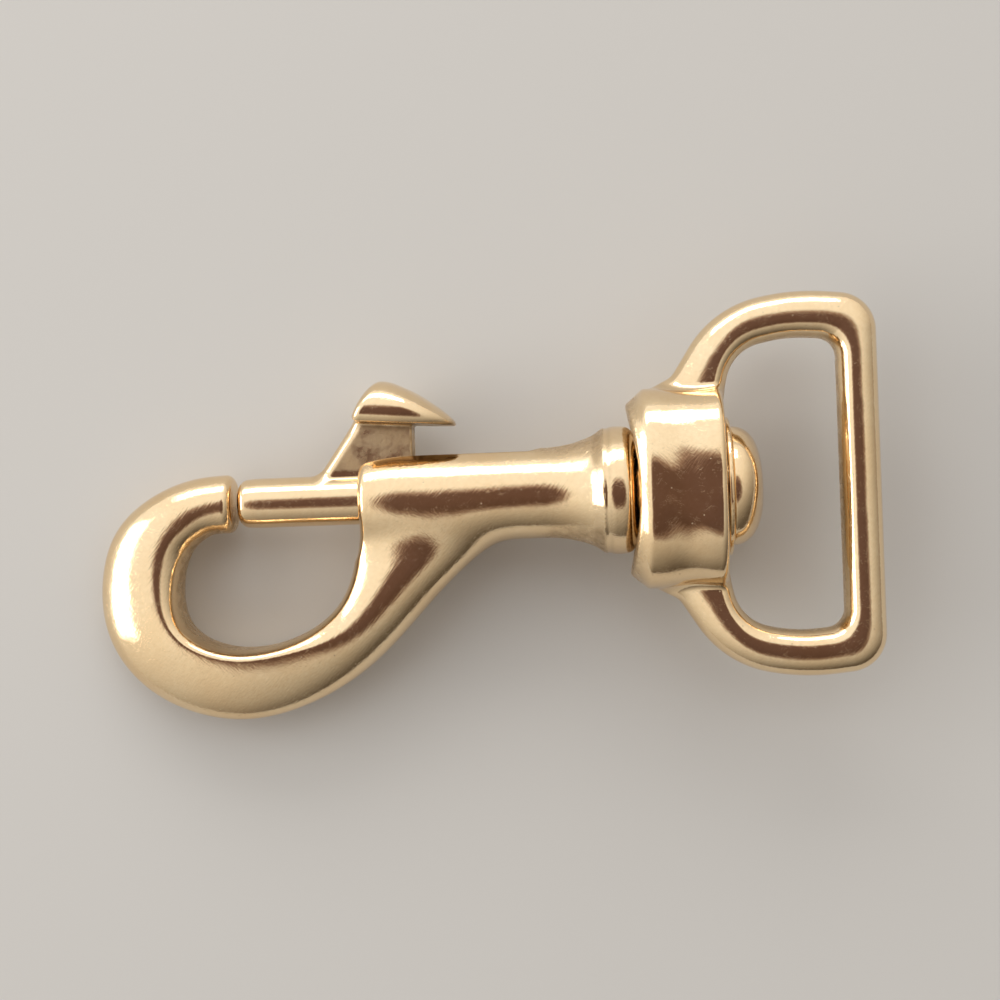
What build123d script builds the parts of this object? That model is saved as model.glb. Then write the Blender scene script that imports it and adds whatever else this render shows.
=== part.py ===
from build123d import *
import os

# Swivel bolt snap in solid brass, in millimetres.
# +X runs along the swivel axis from the hook towards the strap bar, +Y is the
# thumb-lug side, +Z is up. The hook and the strap eye lie in the XY plane, and
# the origin is the centre of the strap bar.

# ---- driving dimensions ----

# how far a cutting tool runs past the face that it opens
CUT_PAST = 1.0

# hook strand: (outer x, outer y, inner x, inner y, half thickness, crest share)
# The crest share is the part of the width between the crest and the inner side.
HOOK_STATIONS = [
    (-33.5, -1.6, -49.6, -1.6, 3.4, 0.50),
    (-38.0, -5.9, -50.2, -5.3, 3.4, 0.45),
    (-42.6, -10.2, -50.8, -7.8, 3.4, 0.41),
    (-48.2, -15.9, -52.6, -10.9, 3.4, 0.36),
    (-54.9, -20.1, -56.7, -13.5, 3.4, 0.35),
    (-62.8, -21.8, -62.0, -14.4, 3.4, 0.35),
    (-70.6, -19.5, -66.2, -13.2, 3.4, 0.36),
    (-75.3, -14.6, -68.0, -10.9, 3.4, 0.36),
    (-76.6, -8.9, -68.2, -7.9, 3.3, 0.37),
    (-75.3, -3.1, -67.4, -5.0, 3.2, 0.38),
    (-71.6, 0.7, -65.8, -3.5, 3.1, 0.42),
    (-67.0, 2.6, -64.5, -3.0, 3.0, 0.46),
    (-62.5, 3.0, -62.5, -3.0, 3.0, 0.50),
]
NOSE_EDGE = 0.8

# barrel, flare and collar, turned about the X axis
BARREL_FRONT = -49.5
BARREL_RADIUS = 4.5
BARREL_EDGE = 1.2
FLARE_START = -31.0
FLARE_END = (-25.1, 6.1)
COLLAR_CREST = (-24.0, 6.55)
COLLAR_DOME = 2.1
COLLAR_DOME_START = 20

# bolt, its bore and its slot
BOLT_RADIUS = 2.5
BOLT_CLEARANCE = 0.08
BOLT_FRONT = -62.0
BOLT_TAIL = -43.7
BOLT_EDGE = 0.8
BOLT_TRAVEL = 11.5
WEB_HALF_WIDTH = 1.3
WEB_REAR = -44.1
WEB_FOOT = 1.5
SLOT_CLEARANCE = 0.2
SLOT_SPARE_TRAVEL = 1.0
WEB_FRONT = [(-54.4, WEB_FOOT), (-50.1, 7.7), (-49.0, 9.6)]
WEB_BACK = [(-44.0, 9.0), (-40.4, 7.1), (WEB_REAR, 6.7), (WEB_REAR, WEB_FOOT)]
PAD_HEEL = (-50.1, 7.75)
PAD_FRONT = (-48.2, 11.0)
PAD_APEX = (-47.0, 11.9)
PAD_BACK = (-42.9, 10.1)
PAD_TIP = (-39.8, 7.1)
PAD_HALF_WIDTH = 4.0

# spring in the bore
SPRING_MEAN_RADIUS = 2.0
SPRING_WIRE_RADIUS = 0.25
SPRING_TURNS = 7.5
SPRING_END_GAP = 0.02

# swivel pin and washer
PIN_RADIUS = 3.0
PIN_FRONT = -28.0
PIN_HEAD_BASE = -12.8
PIN_HEAD_RADIUS = 5.9
PIN_HEAD_HEIGHT = 3.2
PIN_HEAD_EDGE = 0.7
WASHER_RADIUS = 6.85
WASHER_THICKNESS = 0.5

# hub of the swivel eye
HUB_REAR = -13.4
HUB_RIDGE = -20.7
HUB_FRONT = -22.6
HUB_HALF_WIDTH = 9.9
HUB_HALF_HEIGHT = 7.6
HUB_CORNER = 6.6
HUB_FRONT_HALF_WIDTH = 9.2
HUB_FRONT_HALF_HEIGHT = 6.4
HUB_FRONT_CORNER = 5.6
HUB_EDGE = 0.8
DISH_FLOOR = -21.7
DISH_RADIUS = 6.9
DISH_MOUTH_RADIUS = 8.1
SWIVEL_CLEARANCE = 0.08

# D-shaped strap eye: half outlines, from the hub to the middle of the strap bar
EYE_OUTER = [(-20.2, 0), (-20.2, 10.0), (-18.7, 11.1), (-14.1, 17.5), (-6.5, 19.0), (1.95, 18.3), (1.95, 0)]
EYE_OUTER_RADII = [1.8, 4.0, 7.5, 12.0, 3.2]
EYE_INNER = [(-13.5, 0), (-13.5, 7.4), (-12.0, 13.4), (-7.0, 14.4), (-2.05, 14.1), (-2.05, 0)]
EYE_INNER_RADII = [6.0, 3.6, 10.0, 1.9]
EYE_HALF_THICKNESS = 2.35
EYE_EDGE = 1.6


def egg(outer_x, outer_y, inner_x, inner_y, half_thickness, crest_share):
    """Section of the hook: two half ellipses that meet at the crest."""
    outer = Vector(outer_x, outer_y, 0)
    inner = Vector(inner_x, inner_y, 0)
    across = inner - outer
    crest = outer + across * (1 - crest_share)
    inner_reach = across.length * crest_share
    outer_reach = across.length - inner_reach
    plane = Plane(origin=crest, x_dir=across, z_dir=across.cross(Vector(0, 0, 1)))
    sides = [
        EllipticalCenterArc((0, 0), reach, half_thickness, start_angle=start, arc_size=180)
        for reach, start in ((inner_reach, -90), (outer_reach, 90))
    ]
    return plane * make_face(sides)


def along_x(radius, start, end):
    """Cylinder on the X axis from start to end."""
    disc = Plane(origin=(start, 0, 0), x_dir=(0, 1, 0), z_dir=(1, 0, 0)) * Circle(radius)
    return extrude(disc, amount=end - start)


def turned(edges):
    """Solid turned about the X axis from a closed outline in the XY plane."""
    return revolve(make_face(edges), axis=Axis.X)


def make_hook_body():
    """Hook, gusset, barrel and collar in one casting."""
    strand = loft([egg(*station) for station in HOOK_STATIONS])
    nose_rim = strand.faces().sort_by_distance((BOLT_FRONT, 0, 0))[0].edges()
    strand = fillet(nose_rim, NOSE_EDGE)
    front_corner = (BARREL_FRONT, BARREL_RADIUS - BARREL_EDGE)
    shoulder = (BARREL_FRONT + BARREL_EDGE, BARREL_RADIUS)
    flare_start = (FLARE_START, BARREL_RADIUS)
    dome = EllipticalCenterArc(
        (COLLAR_CREST[0], 0),
        COLLAR_DOME,
        COLLAR_CREST[1],
        start_angle=COLLAR_DOME_START,
        arc_size=90 - COLLAR_DOME_START,
    )
    collar_rear = (dome @ 0).X
    barrel = turned([
        Line((BARREL_FRONT, 0), front_corner),
        TangentArc(front_corner, shoulder, tangent=(0, 1)),
        Line(shoulder, flare_start),
        TangentArc(flare_start, FLARE_END, tangent=(1, 0)),
        TangentArc(COLLAR_CREST, FLARE_END, tangent=(-1, 0)),
        dome,
        Line(dome @ 0, (collar_rear, 0)),
        Line((collar_rear, 0), (BARREL_FRONT, 0)),
    ])
    body = barrel + strand
    body -= along_x(BOLT_RADIUS + BOLT_CLEARANCE, BARREL_FRONT - CUT_PAST, PIN_FRONT)
    body -= along_x(PIN_RADIUS, PIN_FRONT, collar_rear + CUT_PAST)
    slot_half = WEB_HALF_WIDTH + SLOT_CLEARANCE
    slot_end = WEB_REAR + BOLT_TRAVEL + SLOT_SPARE_TRAVEL - slot_half
    slot_start = BARREL_FRONT - CUT_PAST
    slot_run = Rectangle(slot_end - slot_start, 2 * slot_half)
    slot_plan = Pos((slot_start + slot_end) / 2, 0) * slot_run + Pos(slot_end, 0) * Circle(slot_half)
    return body - extrude(Plane.XZ * slot_plan, amount=-(BARREL_RADIUS + CUT_PAST))


def make_bolt():
    """Sliding bolt with its web and thumb pad in one casting."""
    rod = along_x(BOLT_RADIUS, BOLT_FRONT, BOLT_TAIL)
    rod = fillet(rod.edges().sort_by(Axis.X)[0], BOLT_EDGE)
    web_outline = make_face(Polyline(*WEB_FRONT, *WEB_BACK, close=True))
    web = extrude(web_outline, amount=WEB_HALF_WIDTH, both=True)
    pad_outline = make_face([
        ThreePointArc(PAD_APEX, PAD_BACK, PAD_TIP),
        Line(PAD_TIP, PAD_HEEL),
        Line(PAD_HEEL, PAD_FRONT),
        Line(PAD_FRONT, PAD_APEX),
    ])
    pad = extrude(pad_outline, amount=PAD_HALF_WIDTH, both=True)
    pad_length = PAD_TIP[0] - PAD_HEEL[0]
    pad_middle = (PAD_TIP[0] + PAD_HEEL[0]) / 2
    oval = Plane.XZ * Pos(pad_middle, 0) * Ellipse(pad_length / 2, PAD_HALF_WIDTH)
    pad &= extrude(oval, amount=-2 * PAD_APEX[1])
    return rod + web + pad


def make_spring():
    """Compression spring between the bolt's tail and the pin's front end."""
    length = PIN_FRONT - BOLT_TAIL - 2 * (SPRING_WIRE_RADIUS + SPRING_END_GAP)
    start = BOLT_TAIL + SPRING_WIRE_RADIUS + SPRING_END_GAP
    path = Helix(
        pitch=length / SPRING_TURNS,
        height=length,
        radius=SPRING_MEAN_RADIUS,
        center=(start, 0, 0),
        direction=(1, 0, 0),
    )
    wire_plane = Plane(origin=path @ 0, z_dir=path % 0)
    return sweep(wire_plane * Circle(SPRING_WIRE_RADIUS), path=path, is_frenet=True)


def make_pin():
    """Swivel pin: shank through the hub, domed head inside the strap eye."""
    rim = (PIN_HEAD_BASE, PIN_HEAD_RADIUS)
    dome_start = (PIN_HEAD_BASE + PIN_HEAD_EDGE, PIN_HEAD_RADIUS)
    dome_top = (PIN_HEAD_BASE + PIN_HEAD_HEIGHT, 0)
    head = turned([
        Line((PIN_HEAD_BASE, 0), rim),
        Line(rim, dome_start),
        TangentArc(dome_top, dome_start, tangent=(0, 1)),
        Line(dome_top, (PIN_HEAD_BASE, 0)),
    ])
    return head + along_x(PIN_RADIUS, PIN_FRONT, PIN_HEAD_BASE)


def make_washer():
    """Thin washer under the pin's head."""
    front = PIN_HEAD_BASE - WASHER_THICKNESS
    return along_x(WASHER_RADIUS, front, PIN_HEAD_BASE) - along_x(PIN_RADIUS, front, PIN_HEAD_BASE)


def mirrored_outline(half_outline, radii):
    """Closed face from a rounded half outline and its mirror image in the XZ plane."""
    half = FilletPolyline(*half_outline, radius=radii)
    return make_face(half.edges() + mirror(half, Plane.XZ).edges())


def make_swivel_eye():
    """Hub with a bore for the pin, and the D-shaped strap eye."""
    hub_plane = Plane(origin=(HUB_RIDGE, 0, 0), x_dir=(0, 1, 0), z_dir=(1, 0, 0))
    hub_section = RectangleRounded(2 * HUB_HALF_WIDTH, 2 * HUB_HALF_HEIGHT, HUB_CORNER)
    hub = extrude(hub_plane * hub_section, amount=HUB_REAR - HUB_RIDGE)
    hub = fillet(hub.faces().sort_by(Axis.X)[-1].edges(), HUB_EDGE)
    front_plane = Plane(origin=(HUB_FRONT, 0, 0), x_dir=(0, 1, 0), z_dir=(1, 0, 0))
    front_section = RectangleRounded(
        2 * HUB_FRONT_HALF_WIDTH, 2 * HUB_FRONT_HALF_HEIGHT, HUB_FRONT_CORNER
    )
    bevel = loft([front_plane * front_section, hub_plane * hub_section])
    outer_face = mirrored_outline(EYE_OUTER, EYE_OUTER_RADII)
    inner_face = mirrored_outline(EYE_INNER, EYE_INNER_RADII)
    ring = extrude(outer_face - inner_face, amount=EYE_HALF_THICKNESS, both=True)
    rims = ring.edges().group_by(Axis.Z)
    ring = fillet(rims[0] + rims[-1], EYE_EDGE)
    mouth = HUB_FRONT - CUT_PAST
    dish = turned(Polyline(
        (mouth, 0),
        (mouth, DISH_MOUTH_RADIUS),
        (HUB_FRONT, DISH_MOUTH_RADIUS),
        (DISH_FLOOR, DISH_RADIUS),
        (DISH_FLOOR, 0),
        close=True,
    ))
    bore = along_x(PIN_RADIUS + SWIVEL_CLEARANCE, mouth, HUB_REAR + CUT_PAST)
    return hub + bevel + ring - dish - bore


PARTS = {
    "hook_body": make_hook_body,
    "bolt": make_bolt,
    "bolt_spring": make_spring,
    "swivel_pin": make_pin,
    "swivel_washer": make_washer,
    "swivel_eye": make_swivel_eye,
}

os.makedirs("parts", exist_ok=True)
for name, make in PARTS.items():
    shape = make()
    export_step(shape, f"parts/{name}.step")
    print(name, "volume", round(shape.volume, 1), "mm3")
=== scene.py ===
import math

import bpy
import numpy as np
from mathutils import Matrix, Vector


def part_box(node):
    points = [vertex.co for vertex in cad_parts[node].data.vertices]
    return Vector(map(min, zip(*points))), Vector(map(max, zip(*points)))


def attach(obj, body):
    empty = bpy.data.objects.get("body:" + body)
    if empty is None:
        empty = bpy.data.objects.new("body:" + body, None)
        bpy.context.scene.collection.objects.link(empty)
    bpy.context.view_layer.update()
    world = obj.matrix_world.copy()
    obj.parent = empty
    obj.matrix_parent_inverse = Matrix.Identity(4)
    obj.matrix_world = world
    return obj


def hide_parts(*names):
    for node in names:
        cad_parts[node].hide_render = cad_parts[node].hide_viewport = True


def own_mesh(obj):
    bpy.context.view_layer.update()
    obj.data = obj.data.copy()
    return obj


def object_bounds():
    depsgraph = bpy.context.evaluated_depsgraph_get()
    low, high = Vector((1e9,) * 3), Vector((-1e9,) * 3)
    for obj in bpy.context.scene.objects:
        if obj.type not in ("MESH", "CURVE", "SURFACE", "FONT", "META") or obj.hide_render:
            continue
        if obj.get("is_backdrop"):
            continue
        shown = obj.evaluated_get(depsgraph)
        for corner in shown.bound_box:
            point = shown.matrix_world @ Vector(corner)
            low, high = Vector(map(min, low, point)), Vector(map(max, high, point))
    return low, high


# Looks of a solid-brass swivel bolt snap. Each piece is the zero level of a
# distance field in millimetres, in the CAD frame: +X runs along the swivel axis
# from the hook to the strap bar, +Y is the thumb-lug side, +Z is up.

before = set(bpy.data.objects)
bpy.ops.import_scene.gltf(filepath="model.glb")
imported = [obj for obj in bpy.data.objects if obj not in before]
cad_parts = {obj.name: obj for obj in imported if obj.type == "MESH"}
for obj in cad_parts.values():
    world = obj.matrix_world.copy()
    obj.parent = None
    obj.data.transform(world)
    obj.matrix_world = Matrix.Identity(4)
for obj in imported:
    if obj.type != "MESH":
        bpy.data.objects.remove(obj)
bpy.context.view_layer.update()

MM = 0.001

# ---- hook strand ----

# (outer x, outer y, inner x, inner y, half thickness, crest share, face fullness)
# The crest share is the part of the width between the crest and the inner side.
# The face fullness is the power of the lens outside the crest; below 2 it is sharper.
# The first two sections taper inside the barrel, the last one lies past the nose.
HOOK_STATIONS = [
    (-32.0, 3.4, -49.0, 3.4, 0.9, 0.50, 2.2),
    (-32.4, 1.0, -49.3, 1.0, 2.4, 0.50, 2.2),
    (-33.5, -1.6, -49.6, -1.6, 3.3, 0.50, 2.2),
    (-38.0, -5.9, -50.2, -5.3, 3.4, 0.47, 2.1),
    (-42.6, -10.2, -50.8, -7.8, 3.4, 0.45, 2.0),
    (-48.2, -15.9, -52.6, -10.9, 3.4, 0.40, 1.75),
    (-54.9, -20.1, -56.7, -13.5, 3.4, 0.22, 1.35),
    (-62.8, -21.8, -62.0, -14.4, 3.4, 0.17, 1.3),
    (-70.6, -19.5, -66.2, -13.2, 3.4, 0.17, 1.3),
    (-75.3, -14.6, -68.0, -10.9, 3.4, 0.19, 1.4),
    (-76.6, -8.9, -68.2, -7.9, 3.3, 0.24, 1.55),
    (-75.3, -3.1, -67.4, -5.0, 3.2, 0.30, 1.7),
    (-71.6, 0.7, -65.8, -3.5, 3.1, 0.38, 1.9),
    (-67.0, 2.6, -64.5, -3.0, 3.0, 0.45, 2.0),
    (-62.5, 3.0, -62.5, -3.0, 3.0, 0.50, 2.0),
    (-58.0, 3.1, -60.5, -2.9, 3.0, 0.50, 2.0),
]
STRAND_POWER = 1.95
INNER_FULLNESS = 2.0
# The bowl's inner side is cut to a wall, which fades out towards the nose.
BOWL_WALL_REACH = 1.25
BOWL_WALL_LEAN = 0.3
BOWL_WALL_EDGE = 0.9
BOWL_WALL_FADE = (-7.5, -3.5)
BOWL_WALL_FADE_X = -57
BOWL_WALL_DROP = 0.5
NOSE_PLANE = -62.55
NOSE_EDGE = 0.8
NOSE_CORNER = (-55, -8)
STEPS_PER_STATION = 10
SECTION_WINDOW = 1.6
POINTS_AT_ONCE = 8192

# field values far outside a piece, and where a cut doesn't apply
OUTSIDE = 6.0
UNCUT = -9.0

# ---- barrel, flare and collar ----

# Names that end in EDGE are the radii of rounded edges, and in FILLET of inner corners.
BARREL_FRONT = -49.5
BARREL_RADIUS = 4.5
BARREL_EDGE = 0.8
# length and depth of the taper at the front
BARREL_TAPER = (4.0, 0.48)
# The front face bows forward below the axis (start, strength) and fades into the gusset.
FRONT_BOW = (2.0, 0.06)
FRONT_FADE = (5.5, 12)
FRONT_LIFT = 12
FRONT_CUT_X = -56
FLARE_START = -31.0
FLARE_RADIUS = 11.7
FLARE_END = -25.3
# x and radius of the collar's widest ring
COLLAR_CREST = (-24.0, 6.35)
COLLAR_FRONT_RADIUS = 2.0
COLLAR_DOME = 2.35
COLLAR_POWER = 3.7
COLLAR_FILLET = 0.6
BORE_RADIUS = 2.58
BORE_EDGE = 0.2
PIN_BORE_RADIUS = 3.02
SLOT_HALF = 1.5
SLOT_END = -33.1
SLOT_EDGE = 0.2
SLOT_MOUTH_EXTRA = 0.6
SLOT_MOUTH = (-49, -43)
# how far ahead of the barrel's front face the tube, the bore and the slot start
TUBE_AHEAD = 1.5
BORE_AHEAD = 0.6
SLOT_AHEAD = 1.2
GUSSET_BLEND = 3.2

# ---- bolt ----

BOLT_RADIUS = 2.5
BOLT_FRONT = -62.0
BOLT_FRONT_EDGE = 0.9
# length and depth of the rod's slight narrowing at the front
BOLT_CROWN = (2.4, 0.16)
BOLT_TAIL = -43.7
BOLT_TAIL_EDGE = 0.15
WEB_HALF = 1.3
WEB_REAR = -44.1
WEB_EDGE = 0.3
WEB_FOOT = 0.8
LUG_HEEL = (-50.1, 7.75)
LUG_TIP = (-39.85, 7.05)
# slopes of the lug's front below and above the heel, in radians
WEB_SLOPE = 0.96
PAD_SLOPE = 1.09
PAD_TOP = [
    (-50.0, 11.2),
    (-47.2, 11.8),
    (-45.2, 11.25),
    (-43.7, 10.5),
    (-42.4, 9.65),
    (-41.0, 8.6),
    (-39.7, 7.4),
]
PAD_HALF_WIDTH = 3.9
# where the pad starts to narrow, and over what length
PAD_NARROWING = (-46.2, 6.55)
PAD_BELLY = 1.25
PAD_POWER = 2.15
PAD_REAR_EDGE = 0.3
PAD_BOTTOM_EDGE = 0.12
# The lug's front is rounder below the neck, and its fillet to the rod larger at the toe.
LUG_FRONT_EDGE = 0.8
LUG_NECK_EXTRA = 0.4
LUG_NECK = (6.5, 8.5)
LUG_FILLET = 0.35
ROD_FILLET = 0.2
ROD_TOE_EXTRA = 0.6
ROD_TOE = (-53.5, -52)

# ---- spring, pin and washer ----

SPRING_RADIUS = 2.0
SPRING_WIRE = 0.25
SPRING_TURNS = 7.5
PIN_FRONT = -28.0
PIN_RADIUS = 2.98
PIN_HEAD_BASE = -12.8
PIN_HEAD_RADIUS = 5.9
PIN_HEAD_HEIGHT = 3.2
PIN_HEAD_POWER = 2.5
PIN_HEAD_EDGE = 0.25
PIN_HEAD_DENTS = 0.05
WASHER_RADIUS = 6.85
WASHER_FRONT = -13.3
WASHER_GAP = 0.05
WASHER_EDGE = 0.15

# ---- swivel eye ----

HUB_REAR = -13.4
HUB_REAR_EDGE = 0.7
HUB_FRONT = -22.9
HUB_FRONT_EDGE = 0.35
HUB_FRONT_HOLLOW = 1.15
HUB_RIDGE = -20.7
HUB_RIDGE_SWEEP = 0.5
HUB_HALF = (9.9, 7.6)
HUB_FRONT_HALF = (8.4, 6.4)
HUB_POWER = 2.5
HUB_WAIST = 0.22
HUB_DENTS = 0.035
DISH_FLOOR = -21.35
DISH_RADIUS = 6.5
DISH_SLOPE = 0.85
DISH_EDGE = 0.3
HUB_BORE = 3.08
HUB_BORE_EDGE = 0.2
EYE_OUTER = [
    (-20.2, 0),
    (-20.2, 10.0),
    (-18.2, 11.0),
    (-13.9, 17.7),
    (-6.0, 19.15),
    (1.95, 18.3),
    (1.95, 0),
]
EYE_OUTER_RADII = [1.6, 2.0, 10.5, 22.0, 3.8]
EYE_INNER = [
    (-13.5, 0),
    (-13.5, 7.4),
    (-12.1, 13.4),
    (-6.8, 14.5),
    (-2.05, 14.1),
    (-2.05, 0),
]
EYE_INNER_RADII = [7.0, 4.4, 14.0, 1.9]
EYE_HALF_THICKNESS = 2.35
# crest share at the bar and near the hub, and the span of -x over which it changes
EYE_CREST = (0.42, 0.24)
EYE_CREST_SPAN = (10.5, 16)
EYE_POWER = 2.25
EYE_FILLET = 0.6

# ---- mesh ----

# grid cell, room round each piece, layers worked out at once, and how far the marks
# for painted crease shade and edge wear look out of and into the surface
GRID = 0.2
MARGIN = 0.7
SLAB = 24
CREASE_REACH = 0.8
EDGE_REACH = 0.4


# ---- field tools ----


def round_max(a, b, radius):
    """Intersection of two fields with a rounded edge."""
    corner = np.hypot(np.maximum(radius + a, 0), np.maximum(radius + b, 0))
    return np.minimum(-radius, np.maximum(a, b)) + corner


def round_min(a, b, radius):
    """Union of two fields with a fillet."""
    return -round_max(-a, -b, radius)


def soft_min(a, b, reach):
    """Union of two fields that flow into each other over reach."""
    near = np.maximum(reach - np.abs(a - b), 0) / reach
    return np.minimum(a, b) - near**3 * reach / 6


def ramp(value, start, end):
    """0 before start, 1 after end, smooth between them."""
    t = np.clip((value - start) / (end - start), 0, 1)
    return t * t * (3 - 2 * t)


def ellipse(u, v, reach_u, reach_v, power=2.0):
    """Distance to an ellipse, or a squarer one, exact to first order near its rim."""
    u, v = np.abs(u / reach_u), np.abs(v / reach_v)
    size = np.maximum((u**power + v**power) ** (1 / power), 0.02)
    slope = np.hypot(u ** (power - 1) / reach_u, v ** (power - 1) / reach_v) * size ** (1 - power)
    return (size - 1) / np.maximum(slope, 0.02)


def lens(u, v, reach_u, reach_v, power_u, power_v):
    """Like ellipse, with its own power along each axis; below 2 gives u a crest."""
    u, v = np.maximum(np.abs(u / reach_u), 0.002), np.abs(v / reach_v)
    size = np.sqrt(u**power_u + v**power_v)
    slope = np.hypot(power_u * u ** (power_u - 1) / reach_u, power_v * v ** (power_v - 1) / reach_v)
    return 2 * (size - 1) * np.maximum(size, 0.5) / np.maximum(slope, 0.15)


class Spline:
    """Natural cubic through rows of values, one row per unit of the parameter."""

    def __init__(self, rows):
        self.rows = np.array(rows, float)
        count = len(self.rows)
        system = np.eye(count)
        right = np.zeros_like(self.rows)
        for i in range(1, count - 1):
            system[i, i - 1 : i + 2] = (1, 4, 1)
            right[i] = 6 * (self.rows[i - 1] - 2 * self.rows[i] + self.rows[i + 1])
        self.bends = np.linalg.solve(system, right)

    def at(self, u):
        index = np.clip(np.floor(u).astype(int), 0, len(self.rows) - 2)
        t = (u - index)[..., None]
        s = 1 - t
        straight = s * self.rows[index] + t * self.rows[index + 1]
        bend = (s**3 - s) * self.bends[index] + (t**3 - t) * self.bends[index + 1]
        return straight + bend / 6


def surface_net(field, low, high):
    """Quads on the zero level of field inside the box from low to high."""
    counts = [int(math.ceil((high[i] - low[i]) / GRID)) + 1 for i in range(3)]
    axes = [low[i] + GRID * np.arange(counts[i]) for i in range(3)]
    values = np.empty(counts)
    for i in range(0, counts[0], SLAB):
        x = axes[0][i : i + SLAB, None, None]
        values[i : i + SLAB] = field(x, axes[1][None, :, None], axes[2][None, None, :])
    inside = values < 0
    total = np.zeros([n - 1 for n in counts] + [3])
    hits = np.zeros([n - 1 for n in counts])
    crossings = []
    for axis in range(3):
        ahead = [slice(None)] * 3
        behind = [slice(None)] * 3
        ahead[axis] = slice(1, None)
        behind[axis] = slice(None, -1)
        first, second = inside[tuple(behind)], inside[tuple(ahead)]
        edge = np.argwhere(first != second)
        a = values[tuple(behind)][first != second]
        b = values[tuple(ahead)][first != second]
        point = edge.astype(float)
        point[:, axis] += a / (a - b)
        u, v = (axis + 1) % 3, (axis + 2) % 3
        keep = (edge[:, u] > 0) & (edge[:, u] < counts[u] - 1)
        keep &= (edge[:, v] > 0) & (edge[:, v] < counts[v] - 1)
        edge, point = edge[keep], point[keep]
        outward = first[first != second][keep]
        around = []
        for du, dv in ((-1, -1), (0, -1), (0, 0), (-1, 0)):
            cell = edge.copy()
            cell[:, u] += du
            cell[:, v] += dv
            around.append(cell)
            np.add.at(total, tuple(cell.T), point)
            np.add.at(hits, tuple(cell.T), 1)
        crossings.append((around, outward))
    used = hits > 0
    number = np.full(hits.shape, -1)
    number[used] = np.arange(used.sum())
    points = np.array(low) + GRID * total[used] / hits[used][:, None]
    quads = []
    for around, outward in crossings:
        quad = np.stack([number[tuple(cell.T)] for cell in around], 1)
        quad[~outward] = quad[~outward][:, ::-1]
        quads.append(quad)
    return settle(field, points), np.concatenate(quads)


def gradient(field, points, reach):
    """Slope of field at each point."""
    slope = np.empty_like(points)
    for axis in range(3):
        step = np.zeros(3)
        step[axis] = reach
        slope[:, axis] = field(*(points + step).T) - field(*(points - step).T)
    return slope / (2 * reach)


def settle(field, points):
    """Moves points onto the zero level of field."""
    for _ in range(2):
        slope = gradient(field, points, 0.02)
        size = np.maximum((slope**2).sum(1), 0.05)
        move = (field(*points.T) / size)[:, None] * slope
        length = np.linalg.norm(move, axis=1)[:, None]
        points = points - move * np.minimum(1, 0.6 * GRID / np.maximum(length, 1e-9))
    return points


def make_mesh(name, points, faces, normals=None):
    """Mesh object from points in millimetres."""
    mesh = bpy.data.meshes.new(name)
    mesh.vertices.add(len(points))
    mesh.vertices.foreach_set("co", (points * MM).astype(np.float32).ravel())
    mesh.loops.add(faces.size)
    mesh.loops.foreach_set("vertex_index", faces.astype(np.int32).ravel())
    mesh.polygons.add(len(faces))
    mesh.polygons.foreach_set("loop_start", np.arange(0, faces.size, 4, dtype=np.int32))
    mesh.update(calc_edges=True)
    mesh.polygons.foreach_set("use_smooth", np.ones(len(faces), bool))
    mesh.validate()
    if normals is not None:
        mesh.normals_split_custom_set_from_vertices(normals)
    piece = bpy.data.objects.new(name, mesh)
    bpy.context.scene.collection.objects.link(piece)
    return piece


def cast(name, field, low, high, skin):
    """Piece whose surface is the zero level of field, with its painted crease shade, edge wear and
    cast skin kept at each point.
    """
    points, faces = surface_net(field, low, high)
    slope = gradient(field, points, 0.03)
    size = np.maximum(np.linalg.norm(slope, axis=1), 1e-9)
    normals = slope / size[:, None]
    piece = make_mesh(name, points, faces, normals)
    # how enclosed each point is: the mark for the shade painted into creases
    above = field(*(points + CREASE_REACH * normals).T) / (CREASE_REACH * size)
    below = -field(*(points - EDGE_REACH * normals).T) / (EDGE_REACH * size)
    marks = {"crease_shade": 1 - above, "edge": 1 - below, "skin": skin(*points.T)}
    for mark, values in marks.items():
        layer = piece.data.attributes.new(mark, "FLOAT", "POINT")
        layer.data.foreach_set("value", np.clip(values, 0, 1).astype(np.float32))
    return piece


# ---- the hook body ----

hook_spline = Spline(HOOK_STATIONS)
last_station = len(HOOK_STATIONS) - 1
hook_steps = np.linspace(0, last_station, STEPS_PER_STATION * last_station + 1)
hook_rows = hook_spline.at(hook_steps)


def section_side(x, y, rows):
    """Distance beyond each section line, share of the way along it, and its length."""
    across_x = rows[..., 2] - rows[..., 0]
    across_y = rows[..., 3] - rows[..., 1]
    length = np.hypot(across_x, across_y)
    to_x, to_y = x - rows[..., 0], y - rows[..., 1]
    side = (to_x * across_y - to_y * across_x) / length
    share = (to_x * across_x + to_y * across_y) / length**2
    return side, share, length


def strand_sections(x, y):
    """Section of the hook through each point: whether found, share, length and row."""
    u = np.full(len(x), -1.0)
    slope = np.ones(len(x))
    for i in range(0, len(x), POINTS_AT_ONCE):
        part = slice(i, i + POINTS_AT_ONCE)
        side, share, _ = section_side(x[part, None], y[part, None], hook_rows[None])
        changes = side[:, :-1] * side[:, 1:] <= 0
        cost = np.where(changes, np.abs(share[:, :-1] - 0.5), np.inf)
        best = cost.argmin(1)
        row = np.arange(len(best))
        a, b = side[row, best], side[row, best + 1]
        found = cost[row, best] < SECTION_WINDOW
        t = a / np.where(a == b, 1, a - b)
        u[part] = np.where(found, (best + t) / STEPS_PER_STATION, -1)
        slope[part] = (b - a) * STEPS_PER_STATION
    found = u >= 0
    slope = np.where(slope == 0, 1, slope)
    for _ in range(3):
        side, share, length = section_side(x, y, hook_spline.at(np.clip(u, 0, last_station)))
        u = np.where(found, np.clip(u - side / slope, 0, last_station), u)
    return found, share, length, hook_spline.at(np.clip(u, 0, last_station))


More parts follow.
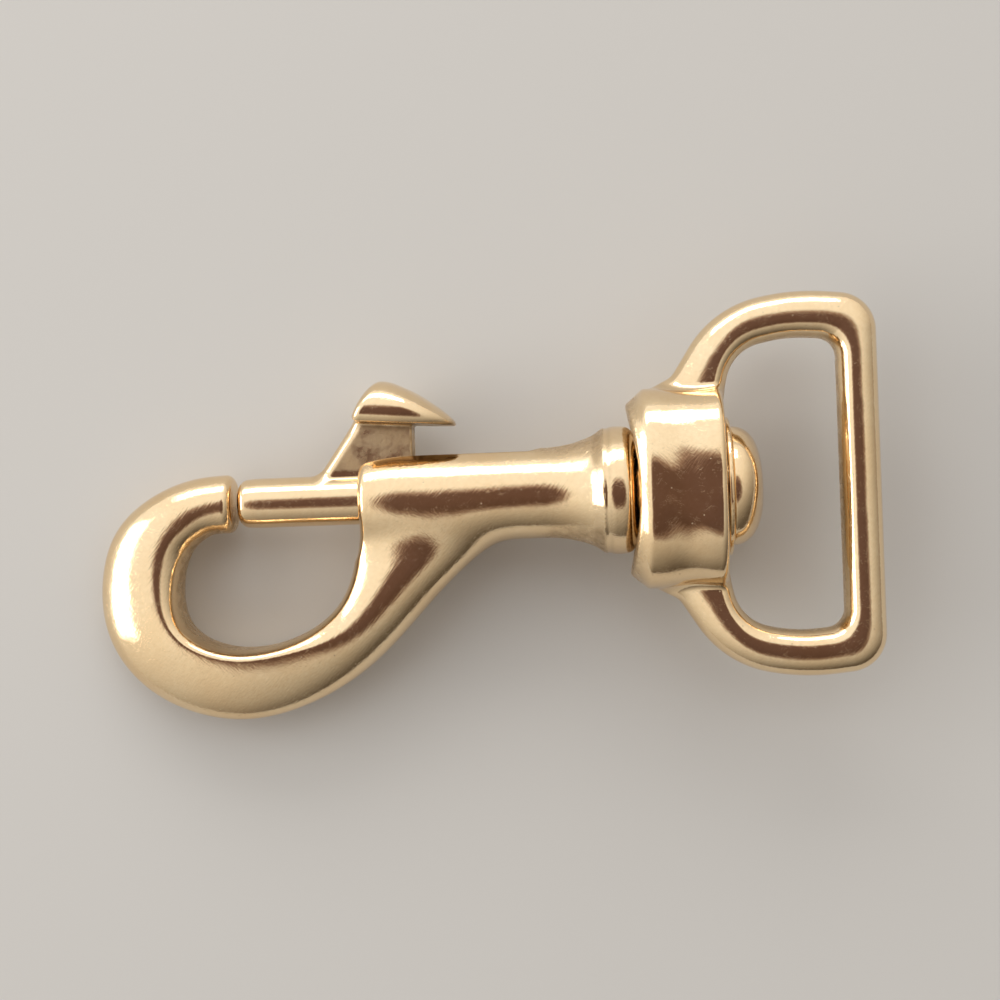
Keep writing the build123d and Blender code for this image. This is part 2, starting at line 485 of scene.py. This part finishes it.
def strand(x, y, z):
    """Hook strand, with its nose cut square."""
    flat_x, flat_y = (np.array(a) for a in np.broadcast_arrays(x, y))
    shape = flat_x.shape
    found, share, length, row = strand_sections(flat_x.ravel(), flat_y.ravel())
    inner_reach = length * row[:, 5]
    place = (share - 1) * length + inner_reach
    near_nose = np.where(flat_x < BOWL_WALL_FADE_X, ramp(flat_y, *BOWL_WALL_FADE), 0)
    walled = 1 - near_nose.ravel()
    stretched = inner_reach * (1 + (BOWL_WALL_REACH - 1) * walled)
    reach = np.where(place > 0, stretched, length - inner_reach)
    fullness = np.where(place > 0, INNER_FULLNESS - BOWL_WALL_LEAN * walled, row[:, 6])
    wall = place - inner_reach - BOWL_WALL_DROP * (1 - walled)
    place, reach, half, fullness, wall, found = (
        a.reshape(shape) for a in (place, reach, row[:, 4], fullness, wall, found)
    )
    body = lens(place, z, reach, half, fullness, STRAND_POWER)
    body = np.where(found, round_max(body, wall, BOWL_WALL_EDGE), OUTSIDE)
    nose = np.where((x < NOSE_CORNER[0]) & (y > NOSE_CORNER[1]), x - NOSE_PLANE, UNCUT)
    return round_max(body, nose, NOSE_EDGE)


def barrel(x, r):
    """Barrel, flare and collar, turned about the X axis."""
    bend = np.clip(x - FLARE_START, 0, FLARE_RADIUS * 0.9)
    surface = BARREL_RADIUS + FLARE_RADIUS - np.sqrt(FLARE_RADIUS**2 - bend**2)
    steepness = np.sqrt(1 - (bend / FLARE_RADIUS) ** 2)
    taper_length, taper_depth = BARREL_TAPER
    taper = np.maximum(BARREL_FRONT + taper_length - x, 0) / taper_length
    surface = surface - taper_depth * np.minimum(taper, 1.2) ** 2
    tube = np.maximum((r - surface) * steepness, x - FLARE_END)
    tube = np.maximum(tube, BARREL_FRONT - TUBE_AHEAD - x)
    crest_x, crest_r = COLLAR_CREST
    front = np.hypot(x - crest_x, np.maximum(r - crest_r + COLLAR_FRONT_RADIUS, 0))
    front = front - COLLAR_FRONT_RADIUS
    rear = ellipse(x - crest_x, r, COLLAR_DOME, crest_r, COLLAR_POWER)
    collar = np.where(x < crest_x, front, rear)
    return round_min(tube, collar, COLLAR_FILLET)


def hook_body(x, y, z):
    """Hook, barrel and collar, with the front face, the bore and the side slot cut in."""
    r = np.hypot(y, z)
    body = soft_min(strand(x, y, z), barrel(x, r), GUSSET_BLEND)
    bow = FRONT_BOW[1] * np.maximum(-y - FRONT_BOW[0], 0) ** 2
    front = np.where(x > FRONT_CUT_X, BARREL_FRONT - bow - x, UNCUT)
    front = front - FRONT_LIFT * ramp(-y, *FRONT_FADE)
    body = round_max(body, front, BARREL_EDGE)
    bore = np.maximum(r - BORE_RADIUS, x - PIN_FRONT)
    bore = np.minimum(bore, np.maximum(r - PIN_BORE_RADIUS, PIN_FRONT - x))
    slot_end = np.hypot(np.maximum(x - SLOT_END, 0), z) - SLOT_HALF
    slot = np.maximum(slot_end, -y)
    body = round_max(body, -np.maximum(bore, BARREL_FRONT - BORE_AHEAD - x), BORE_EDGE)
    slot_edge = SLOT_EDGE + SLOT_MOUTH_EXTRA * (1 - ramp(x, *SLOT_MOUTH))
    return round_max(body, -np.maximum(slot, BARREL_FRONT - SLOT_AHEAD - x), slot_edge)


# ---- the bolt ----

pad_spline = Spline(PAD_TOP)
pad_rows = pad_spline.at(np.linspace(0, len(PAD_TOP) - 1, 400))


def bolt(x, y, z):
    """Rod with its thumb lug: a thin web, and a pad on top that narrows to a tip."""
    r = np.hypot(y, z)
    crown_length, crown_depth = BOLT_CROWN
    crown = np.maximum(BOLT_FRONT + crown_length - x, 0) / crown_length
    rod = round_max(r - BOLT_RADIUS + crown_depth * crown**2, BOLT_FRONT - x, BOLT_FRONT_EDGE)
    rod = round_max(rod, x - BOLT_TAIL, BOLT_TAIL_EDGE)
    past_heel, above_heel = x - LUG_HEEL[0], y - LUG_HEEL[1]
    web_front, pad_front = (
        above_heel * math.cos(slope) - past_heel * math.sin(slope)
        for slope in (WEB_SLOPE, PAD_SLOPE)
    )
    front = np.where(y > LUG_HEEL[1], pad_front, web_front)
    bottom_slope = (LUG_TIP[1] - LUG_HEEL[1]) / (LUG_TIP[0] - LUG_HEEL[0])
    bottom = LUG_HEEL[1] + past_heel * bottom_slope
    web = round_max(np.abs(z) - WEB_HALF, x - WEB_REAR, WEB_EDGE)
    web = np.maximum(web, np.maximum(y - bottom - 1, WEB_FOOT - y))
    top = np.interp(x, pad_rows[:, 0], pad_rows[:, 1])
    height = np.maximum(top - bottom, 0.25)
    belly = np.minimum(PAD_BELLY, 0.35 * height)
    narrowing = np.maximum(x - PAD_NARROWING[0], 0) / PAD_NARROWING[1]
    plan = np.clip(1 - narrowing**2, 0.02, 1)
    half_width = PAD_HALF_WIDTH * np.sqrt(plan)
    centre = bottom + belly
    rise = np.where(y > centre, height - belly, 1.9 * belly)
    pad = ellipse(y - centre, z, rise, half_width, PAD_POWER)
    pad = round_max(pad, x - LUG_TIP[0], PAD_REAR_EDGE)
    pad = round_max(pad, bottom - y, PAD_BOTTOM_EDGE)
    lug = round_min(web, pad, LUG_FILLET)
    lug = round_max(lug, front, LUG_FRONT_EDGE + LUG_NECK_EXTRA * (1 - ramp(y, *LUG_NECK)))
    return round_min(rod, lug, ROD_FILLET + ROD_TOE_EXTRA * (1 - ramp(x, *ROD_TOE)))


# ---- pin, washer and spring ----


def swivel_pin(x, y, z):
    """Shank and hammered, slightly uneven domed head."""
    r = np.hypot(y, z)
    dents = PIN_HEAD_DENTS * np.sin(0.9 * y + 0.7) * np.cos(0.8 * z)
    head = ellipse(x - PIN_HEAD_BASE, r, PIN_HEAD_HEIGHT, PIN_HEAD_RADIUS, PIN_HEAD_POWER)
    head = round_max(head + dents, PIN_HEAD_BASE - x, PIN_HEAD_EDGE)
    shank = np.maximum(r - PIN_RADIUS, np.maximum(PIN_FRONT - x, x - PIN_HEAD_BASE - 0.5))
    return np.minimum(head, shank)


def washer(x, y, z):
    """Flat ring between the hub and the pin's head."""
    r = np.hypot(y, z)
    thickness = PIN_HEAD_BASE - WASHER_FRONT
    slab = np.abs(x - (PIN_HEAD_BASE + WASHER_FRONT) / 2) - thickness / 2
    disc = np.maximum(r - WASHER_RADIUS, PIN_RADIUS + WASHER_GAP - r)
    return round_max(disc, slab, WASHER_EDGE)


def make_spring():
    """Round wire wound on the X axis between the bolt's tail and the pin."""
    around, along = 12, 48
    start = BOLT_TAIL + SPRING_WIRE
    length = PIN_FRONT - BOLT_TAIL - 2 * SPRING_WIRE
    rings = int(SPRING_TURNS * along) + 1
    turn = np.linspace(0, 2 * math.pi * SPRING_TURNS, rings)
    pitch = length / (2 * math.pi * SPRING_TURNS)
    flat, wide, high = 0 * turn, SPRING_RADIUS * np.cos(turn), SPRING_RADIUS * np.sin(turn)
    centre = np.stack([start + pitch * turn, wide, high], 1)
    outward = np.stack([flat, np.cos(turn), np.sin(turn)], 1)
    forward = np.stack([flat + pitch, -high, wide], 1)
    forward /= np.linalg.norm(forward, axis=1)[:, None]
    side = np.cross(forward, outward)
    angle = np.linspace(0, 2 * math.pi, around, endpoint=False)
    c, s = np.cos(angle)[None, :, None], np.sin(angle)[None, :, None]
    ring = c * outward[:, None] + s * side[:, None]
    points = (centre[:, None] + SPRING_WIRE * ring).reshape(-1, 3)
    index = np.arange(rings * around).reshape(rings, around)
    after = np.roll(index, -1, axis=1)
    faces = np.stack([index[:-1], after[:-1], after[1:], index[1:]], -1).reshape(-1, 4)
    cap = np.array([(0, i, i + 1, i + 2) for i in range(1, around - 1, 2)])
    faces = np.concatenate([faces, index[-1][cap], index[0][cap[:, ::-1]]])
    return make_mesh("coil_spring", points, faces)


# ---- the swivel eye ----


def outline_elements(points, radii):
    """Lines and arcs of a polyline with rounded corners."""
    elements = []
    start = np.array(points[0], float)
    for before, corner, after, radius in zip(points, points[1:], points[2:], radii):
        before, corner, after = (np.array(p, float) for p in (before, corner, after))
        back = (before - corner) / np.linalg.norm(before - corner)
        ahead = (after - corner) / np.linalg.norm(after - corner)
        half = math.acos(np.clip(back @ ahead, -1, 1)) / 2
        middle = (back + ahead) / np.linalg.norm(back + ahead)
        centre = corner + middle * radius / math.sin(half)
        turn = np.sign(ahead[0] * back[1] - ahead[1] * back[0])
        reach = radius / math.tan(half)
        elements.append(("line", start, corner + back * reach))
        elements.append(("arc", centre, radius, -middle, math.sin(half), turn))
        start = corner + ahead * reach
    elements.append(("line", start, np.array(points[-1], float)))
    return elements


def outline(x, y, elements):
    """Signed distance to an outline that runs clockwise; positive outside."""
    x, y = np.broadcast_arrays(x, y)
    nearest = np.full(x.shape, np.inf)
    signed = np.zeros(x.shape)
    for element in elements:
        if element[0] == "line":
            _, start, end = element
            along = end - start
            length = math.hypot(*along)
            along = along / length
            to_x, to_y = x - start[0], y - start[1]
            side = along[0] * to_y - along[1] * to_x
            past = to_x * along[0] + to_y * along[1]
            past = past - np.clip(past, 0, length)
            distance = np.hypot(side, past)
            value = np.where(side >= 0, distance, -distance)
        else:
            _, centre, radius, middle, spread, turn = element
            to_x, to_y = x - centre[0], y - centre[1]
            size = np.maximum(np.hypot(to_x, to_y), 1e-9)
            within = (to_x * middle[0] + to_y * middle[1]) / size >= spread
            value = turn * (radius - size)
            distance = np.where(within, np.abs(value), np.inf)
        closer = distance < nearest
        nearest = np.where(closer, distance, nearest)
        signed = np.where(closer, value, signed)
    return signed


outer_elements = outline_elements(EYE_OUTER, EYE_OUTER_RADII)
inner_elements = outline_elements(EYE_INNER, EYE_INNER_RADII)


def swivel_eye(x, y, z):
    """Hub with its bevelled, dished front, and the D-shaped ring."""
    r = np.hypot(y, z)
    side = np.abs(y)
    ridge = HUB_RIDGE - HUB_RIDGE_SWEEP * np.minimum(side / HUB_HALF[0], 1) ** 2
    rise = np.clip((x - HUB_FRONT) / (ridge - HUB_FRONT), 0, None)
    along = np.clip((x - HUB_RIDGE) / (HUB_REAR - HUB_RIDGE), 0, 1)
    waist = HUB_WAIST * np.sin(math.pi * along) ** 2
    reach = []
    for full, small in zip(HUB_HALF, HUB_FRONT_HALF):
        bevel = small + (full - small) * rise
        reach.append(soft_min(bevel, full + 0 * x, 0.3) - waist)
    dents = HUB_DENTS * np.sin(1.3 * x + 0.9 * y) * np.cos(0.8 * y - 0.4 * x)
    hub = ellipse(side, z, reach[0], reach[1], HUB_POWER) + dents
    hub = round_max(hub, x - HUB_REAR, HUB_REAR_EDGE)
    hollow = HUB_FRONT_HOLLOW * np.maximum(1 - (side / HUB_FRONT_HALF[0]) ** 2, 0)
    hub = round_max(hub, HUB_FRONT + hollow - x, HUB_FRONT_EDGE)
    from_outer = -outline(x, side, outer_elements)
    from_inner = outline(x, side, inner_elements)
    width = np.maximum(from_outer + from_inner, 1.0)
    crest = EYE_CREST[0] + (EYE_CREST[1] - EYE_CREST[0]) * ramp(-x, *EYE_CREST_SPAN)
    place = from_inner - crest * width
    half = np.where(place > 0, 1 - crest, crest) * width
    ring = ellipse(place, z, half, EYE_HALF_THICKNESS, EYE_POWER)
    eye = round_min(hub, ring, EYE_FILLET)
    dish = np.maximum(r - DISH_RADIUS - (DISH_FLOOR - x) * DISH_SLOPE, x - DISH_FLOOR)
    eye = round_max(eye, -dish, DISH_EDGE)
    bore = np.maximum(r - HUB_BORE, x - HUB_REAR - 1)
    return round_max(eye, -bore, HUB_BORE_EDGE)


# ---- materials ----


def add_node(tree, kind, **values):
    """Shader node with its sockets and properties set by name."""
    node = tree.nodes.new(kind)
    for key, value in values.items():
        if key in node.inputs:
            socket = node.inputs[key]
            if isinstance(value, bpy.types.NodeSocket):
                tree.links.new(value, socket)
            else:
                socket.default_value = value
        else:
            setattr(node, key, value)
    return node


class Paint:
    """Small helpers round one material's node tree."""

    def __init__(self, name, shift):
        self.material = bpy.data.materials.new(name)
        self.material.use_nodes = True
        self.tree = self.material.node_tree
        self.shader = self.tree.nodes["Principled BSDF"]
        self.shift = shift
        self.place = self.add("ShaderNodeTexCoord").outputs["Object"]

    def add(self, kind, **values):
        return add_node(self.tree, kind, **values)

    def noise(self, size, detail=2.0, stretch=(1, 1, 1), turn=(0, 0, 0)):
        """Noise with features of the given size in millimetres."""
        place = self.add("ShaderNodeMapping", Vector=self.place, Rotation=turn).outputs[0]
        place = self.add("ShaderNodeMapping", Vector=place, Scale=stretch, Location=self.shift)
        place = place.outputs[0]
        noise = self.add("ShaderNodeTexNoise", Vector=place, Scale=1 / (size * MM), Detail=detail)
        return noise.outputs["Fac"]

    def spread(self, value, low, high, start=0.0, end=1.0):
        """Value from low to high stretched from start to end."""
        names = ("Value", "From Min", "From Max", "To Min", "To Max")
        values = zip(names, (value, low, high, start, end))
        node = self.add("ShaderNodeMapRange", **dict(values))
        return node.outputs["Result"]

    def maths(self, operation, a, b, c=0.0):
        node = self.tree.nodes.new("ShaderNodeMath")
        node.operation = operation
        for socket, value in zip(node.inputs, (a, b, c)):
            if isinstance(value, bpy.types.NodeSocket):
                self.tree.links.new(value, socket)
            else:
                socket.default_value = value
        return node.outputs[0]

    def total(self, start, *terms):
        """Start plus each value times its weight."""
        for value, weight in terms:
            start = self.maths("MULTIPLY_ADD", value, weight, start)
        return start

    def mark(self, name):
        return self.add("ShaderNodeAttribute", attribute_name=name).outputs["Fac"]

    def blend(self, share, first, second):
        node = self.add("ShaderNodeMixRGB", Fac=share, Color1=first, Color2=second)
        return node.outputs[0]


# bright, warm and dull tones of the metal, and the dark brown painted as shade in its creases and
# gathered in pits and cast skin
BRASS = [
    (0.91, 0.715, 0.46, 1),
    (0.87, 0.645, 0.385, 1),
    (0.82, 0.58, 0.33, 1),
    (0.20, 0.125, 0.065, 1),
]
STEEL = [
    (0.62, 0.62, 0.61, 1),
    (0.57, 0.57, 0.57, 1),
    (0.5, 0.5, 0.5, 1),
    (0.12, 0.11, 0.1, 1),
]
# three sets of scratches: angle, width in millimetres, and how rare they are
SCRATCHES = [(0.35, 0.05, 0.67), (-0.6, 0.06, 0.69), (1.25, 0.045, 0.69)]


def polished_metal(
    name, shift, tones=BRASS, gloss=0.07, waves=1.0, grain=1.0, lumps=0.09, grit=1.0
):
    """Polished cast metal: smooth faces, cast skin where no wheel reaches, and shade painted into
    creases.

    Waves and grain scale the height of the polished faces' waves and brushed grain.
    Lumps is the height of the cast skin's bumps, and grit scales their size.
    """
    paint = Paint(name, shift)
    crease_shade, edge, skin = paint.mark("crease_shade"), paint.mark("edge"), paint.mark("skin")
    patch = paint.noise(7.0, 3.0)
    mottle = paint.noise(0.9 * grit, 4.0)
    skin_noise = paint.noise(0.42 * grit, 5.0)
    rough_skin = paint.maths("MULTIPLY", skin, paint.spread(mottle, 0.3, 0.62))
    scratches = 0.0
    for number, (angle, width, cut) in enumerate(SCRATCHES):
        line = paint.noise(width, 1.0, (0.025, 1, 1), (0.1 * number, 0.2, angle))
        line, here = paint.spread(line, cut, cut + 0.05), paint.spread(mottle, 0.45, 0.6)
        scratches = paint.maths("MAXIMUM", paint.maths("MULTIPLY", line, here), scratches)
    cells = paint.add("ShaderNodeTexVoronoi", Vector=paint.place, Scale=1 / (0.8 * MM))
    pits = paint.spread(cells.outputs["Distance"], 0.1, 0.05)
    pits = paint.maths("MULTIPLY", pits, paint.spread(paint.noise(1.7, 1.0), 0.56, 0.6))
    colour = paint.blend(paint.spread(patch, 0.35, 0.7), tones[0], tones[1])
    colour = paint.blend(paint.spread(skin_noise, 0.35, 0.65, 0, 0.25), colour, tones[2])
    # painted shade: creases, by how enclosed they are, darken towards the last tone, along with the
    # real dark of pits and cast skin
    shade_and_grime = paint.total(0.0, (crease_shade, 0.75), (skin, 0.1), (rough_skin, 0.4), (pits, 0.6))
    colour = paint.blend(paint.maths("MINIMUM", shade_and_grime, 0.85), colour, tones[3])
    paint.tree.links.new(colour, paint.shader.inputs["Base Color"])
    rough = paint.total(
        gloss - 0.03,
        (mottle, 0.06),
        (skin, 0.10),
        (rough_skin, 0.32),
        (crease_shade, 0.22),
        (scratches, 0.12),
        (pits, 0.3),
        (edge, -0.03),
    )
    paint.tree.links.new(rough, paint.shader.inputs["Roughness"])
    height = paint.total(
        0.0,
        (paint.noise(3.2, 1.0), 0.030 * waves),
        (paint.noise(1.1, 2.0), 0.0045 * waves),
        (paint.noise(0.16, 1.0, (0.15, 1, 1), (0, 0, -0.9)), 0.0050 * grain),
        (paint.noise(0.14, 1.0, (0.15, 1, 1), (0, 0.3, 0.8)), 0.0038 * grain),
        (scratches, -0.0022),
        (pits, -0.012),
        (paint.maths("MULTIPLY", skin_noise, skin), lumps),
    )
    bump = paint.add("ShaderNodeBump", Height=height, Distance=MM, Strength=1.0)
    paint.tree.links.new(bump.outputs[0], paint.shader.inputs["Normal"])
    paint.shader.inputs["Metallic"].default_value = 1.0
    return paint.material


# ---- where the cast skin is left: 1 there, 0 on polished faces ----
# Each ramp holds the two places in millimetres between which the skin starts or ends.

BOWL_CENTRE = (-60.6, -8.4)
WEB_FOOT_FRONT = (-53.4, 2.9)


def hook_skin(x, y, z):
    """Sides of the flare, inside of the bowl, and walls of the slot."""
    flare = ramp(x, -32.5, -29.5) * (1 - ramp(x, -25.5, -24.9)) * ramp(np.abs(y), 2.9, 4.4)
    from_bowl = np.hypot(x - BOWL_CENTRE[0], y - BOWL_CENTRE[1])
    bowl = (1 - ramp(from_bowl, 7.0, 9.5)) * (1 - ramp(np.abs(z), 1.0, 2.4)) * (x < -50.2)
    slot = ramp(y, 3.6, 4.2) * (1 - ramp(np.abs(z), 1.5, 2.2)) * (x < -31)
    return np.maximum(np.maximum(flare, bowl), slot)


def bolt_skin(x, y, z):
    """Sides of the lug's web, behind its polished front edge."""
    side = ramp(y, 2.6, 3.2) * (1 - ramp(y, 7.2, 7.9))
    front_x, front_y = WEB_FOOT_FRONT
    from_front = (x - front_x) * math.sin(WEB_SLOPE) - (y - front_y) * math.cos(WEB_SLOPE)
    return side * ramp(from_front, 0.7, 1.2)


def eye_skin(x, y, z):
    """Inside of the D, and the hub's front face."""
    window = 1 - ramp(outline(x, np.abs(y), inner_elements), 0.1, 0.8)
    window = window * (1 - ramp(np.abs(z), 0.6, 1.6))
    return np.maximum(window, 1 - ramp(x, -22.2, -21.4)) * 0.8


def no_skin(x, y, z):
    return 0 * x


HOOK_FINISH = {"waves": 1.3, "grain": 1.9}
BOLT_FINISH = {"lumps": 0.03, "grit": 1.6}

# piece name, body, CAD node, material slot, field, cast skin, finish
PIECES = [
    ("hook_casting", "body", "hook_body", "polished_brass", hook_body, hook_skin, HOOK_FINISH),
    ("bolt_and_lug", "bolt", "bolt", "bolt_brass", bolt, bolt_skin, BOLT_FINISH),
    ("rivet_pin", "body", "swivel_pin", "pin_brass", swivel_pin, no_skin, {"waves": 1.5}),
    ("thin_washer", "body", "swivel_washer", "washer_brass", washer, no_skin, {}),
    ("strap_eye", "eye", "swivel_eye", "eye_brass", swivel_eye, eye_skin, {"waves": 1.8}),
]
for name, body, node, slot, field, skin, finish in PIECES:
    low, high = (np.array(corner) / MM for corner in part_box(node))
    piece = cast(name, field, low - MARGIN, high + MARGIN, skin)
    shift = 0.3 * low / np.linalg.norm(low)
    piece.data.materials.append(polished_metal(slot, shift, **finish))
    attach(piece, body)
    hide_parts(node)

spring = make_spring()
spring.data.materials.append(polished_metal("spring_steel", (0, 0, 0), STEEL, gloss=0.2))
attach(spring, "body")
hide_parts("bolt_spring")
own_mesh(spring)

# ---- floor, light and camera ----

# The snap rests on the hub and on the back of the hook, so the floor leans.
HOOK_BACK = (-72.0, -3.4)
FLOOR_HALF = 2

hub_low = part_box("swivel_eye")[0].z
rest_slope = math.atan2(HOOK_BACK[1] * MM - hub_low, (HUB_RIDGE - HOOK_BACK[0]) * MM)

floor_mesh = bpy.data.meshes.new("floor")
corners = [(FLOOR_HALF * a, FLOOR_HALF * b, 0) for a, b in ((-1, -1), (1, -1), (1, 1), (-1, 1))]
floor_mesh.from_pydata(corners, [], [(0, 1, 2, 3)])
floor = bpy.data.objects.new("floor", floor_mesh)
bpy.context.scene.collection.objects.link(floor)
floor.rotation_euler = (0, rest_slope, 0)
floor.location = (HUB_RIDGE * MM, 0, hub_low)
floor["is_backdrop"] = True
floor_material = bpy.data.materials.new("pale_floor")
floor_material.use_nodes = True
floor_shader = floor_material.node_tree.nodes["Principled BSDF"]
floor_shader.inputs["Base Color"].default_value = (0.62, 0.61, 0.59, 1)
floor_shader.inputs["Roughness"].default_value = 0.7
floor_mesh.materials.append(floor_material)

# the point that the lights and the camera face
AIM = Vector((-35.63, -0.55, 0)) * MM
WINDOW_DISTANCE = 0.7
WINDOW_RADIANCE = 3.3
WINDOW_COLOUR = (1.0, 0.98, 0.95)


def soft_box(name, azimuth, elevation, width, height):
    """Area light that faces the object."""
    light = bpy.data.lights.new(name, "AREA")
    light.shape = "RECTANGLE"
    light.size = width
    light.size_y = height
    light.energy = WINDOW_RADIANCE * math.pi * width * height
    light.color = WINDOW_COLOUR
    lamp = bpy.data.objects.new(name, light)
    a, e = math.radians(azimuth), math.radians(elevation)
    away = Vector((math.cos(a) * math.cos(e), math.sin(a) * math.cos(e), math.sin(e)))
    lamp.location = AIM + away * WINDOW_DISTANCE
    lamp.rotation_euler = away.to_track_quat("Z", "Y").to_euler()
    bpy.context.scene.collection.objects.link(lamp)


soft_box("window_left", 175, 24, 0.6, 0.3)
soft_box("window_top", 100, 24, 0.7, 0.25)

world = bpy.data.worlds.new("studio")
bpy.context.scene.world = world
world.use_nodes = True
tree = world.node_tree
background = tree.nodes["Background"]
coordinates = add_node(tree, "ShaderNodeTexCoord")


def lobe(direction, stops):
    """Colour by how near a ray runs to a direction: 0 against it, 1 along it."""
    dot = add_node(tree, "ShaderNodeVectorMath", operation="DOT_PRODUCT")
    tree.links.new(coordinates.outputs["Generated"], dot.inputs[0])
    dot.inputs[1].default_value = Vector(direction).normalized()
    half = add_node(tree, "ShaderNodeMath", operation="MULTIPLY_ADD")
    tree.links.new(dot.outputs["Value"], half.inputs[0])
    half.inputs[1].default_value = half.inputs[2].default_value = 0.5
    ramp_node = add_node(tree, "ShaderNodeValToRGB")
    tree.links.new(half.outputs[0], ramp_node.inputs["Fac"])
    elements = ramp_node.color_ramp.elements
    elements[0].position, elements[0].color = stops[0][0], (*stops[0][1], 1)
    elements[1].position, elements[1].color = stops[-1][0], (*stops[-1][1], 1)
    for place, colour in stops[1:-1]:
        elements.new(place).color = (*colour, 1)
    return ramp_node.outputs["Color"]


# a room that is brighter to the upper left, with a dark patch overhead
room = lobe(
    (-0.45, 0.75, 0.45),
    [
        (0.1, (0.10, 0.085, 0.07)),
        (0.4, (0.46, 0.43, 0.385)),
        (0.7, (0.86, 0.83, 0.78)),
        (0.95, (1, 1, 1)),
    ],
)
overhead = lobe(
    (0.03, -0.12, 1),
    [(0.93, (1, 1, 1)), (0.957, (0.36, 0.27, 0.24)), (0.975, (0.145, 0.092, 0.084))],
)
product = add_node(
    tree, "ShaderNodeMixRGB", blend_type="MULTIPLY", Fac=1.0, Color1=room, Color2=overhead
)
tree.links.new(product.outputs["Color"], background.inputs["Color"])
background.inputs["Strength"].default_value = 1.17
bpy.context.scene.view_settings.view_transform = "Standard"

CAMERA_DISTANCE = 0.157
CAMERA_LENS = 56.5

lean = math.radians(4.4)
roll = math.radians(2.1)
camera_data = bpy.data.cameras.new("camera")
camera_data.lens = CAMERA_LENS
camera_data.sensor_width = 36
camera_data.clip_start = 0.005
camera = bpy.data.objects.new("camera", camera_data)
back = Vector((math.sin(lean), 0, math.cos(lean)))
right_level = Vector((math.cos(lean), 0, -math.sin(lean)))
up_level = Vector((0, 1, 0))
right = math.cos(roll) * right_level - math.sin(roll) * up_level
up = math.sin(roll) * right_level + math.cos(roll) * up_level
camera.location = AIM + back * CAMERA_DISTANCE
matrix = np.array([right, up, back]).T
rows = [[*matrix[i], camera.location[i]] for i in range(3)] + [[0, 0, 0, 1]]
camera.matrix_world = Matrix(rows)
bpy.context.scene.collection.objects.link(camera)
bpy.context.scene.camera = camera

low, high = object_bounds()
